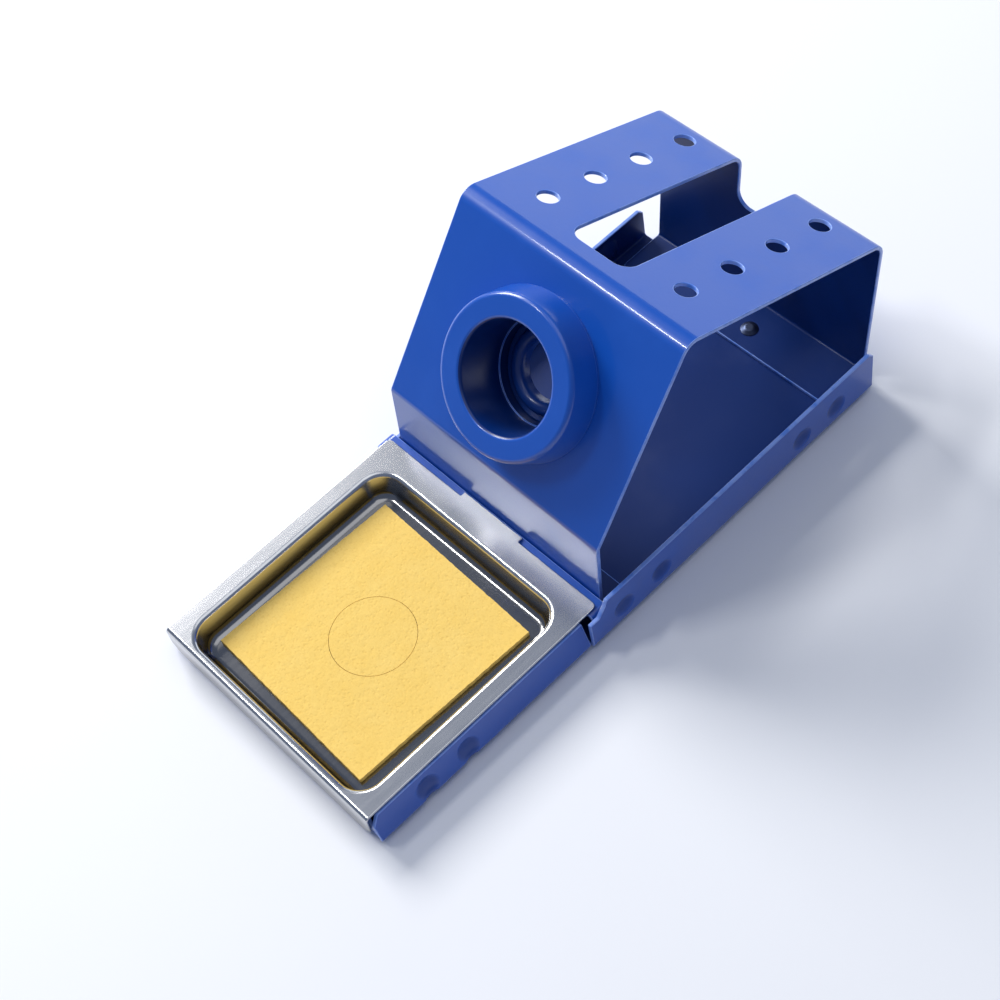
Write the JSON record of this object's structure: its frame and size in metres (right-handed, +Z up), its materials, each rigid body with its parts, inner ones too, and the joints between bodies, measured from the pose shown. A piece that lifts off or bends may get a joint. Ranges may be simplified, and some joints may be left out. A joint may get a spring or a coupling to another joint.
{
  "type": "soldering iron stand",
  "caption": "Bent sheet-metal stand that holds a hot soldering iron in a sloping socket, with spare-tip holes and a lift-out tray for a damp sponge.",
  "frame": {"origin": "middle of the stand's footprint, on the surface that the rubber feet rest on", "axes": "+Z up; +Y toward the rear, along the length, with the sponge tray at -Y; +X to the right seen from the tray end"},
  "size_m": [0.088, 0.1946, 0.0788],
  "materials": {
    "blue_paint": "satin",
    "collar_paint": "gloss",
    "rivet_steel": "satin",
    "fibre": "matte",
    "nut_steel": "satin",
    "foot_rubber": "matte",
    "tray_steel": "polished",
    "sponge": "matte"
  },
  "bodies": {
    "stand": {"base_channel": "blue_paint", "cross_bar": "blue_paint", "cover": "blue_paint", "floor_rivets": "rivet_steel", "socket_collar": "collar_paint", "socket_ring": "collar_paint", "socket_washer": "fibre", "socket_nut": "nut_steel", "rubber_feet": "foot_rubber"},
    "tray": {"sponge_tray": "tray_steel"},
    "sponge": {"sponge_pad": "sponge"},
    "disc": {"sponge_disc": "sponge"}
  },
  "joints": [
    {"name": "tray_lift", "type": "slide", "parent": "stand", "child": "tray", "axis": [0, -0.0872, 0.9962], "range_m": [0, 0.1]},
    {"name": "sponge_lift", "type": "slide", "parent": "tray", "child": "sponge", "axis": [0, 0, 1], "range_m": [0, 0.06]},
    {"name": "disc_lift", "type": "slide", "parent": "sponge", "child": "disc", "axis": [0, 0, 1], "range_m": [0, 0.04]}
  ]
}
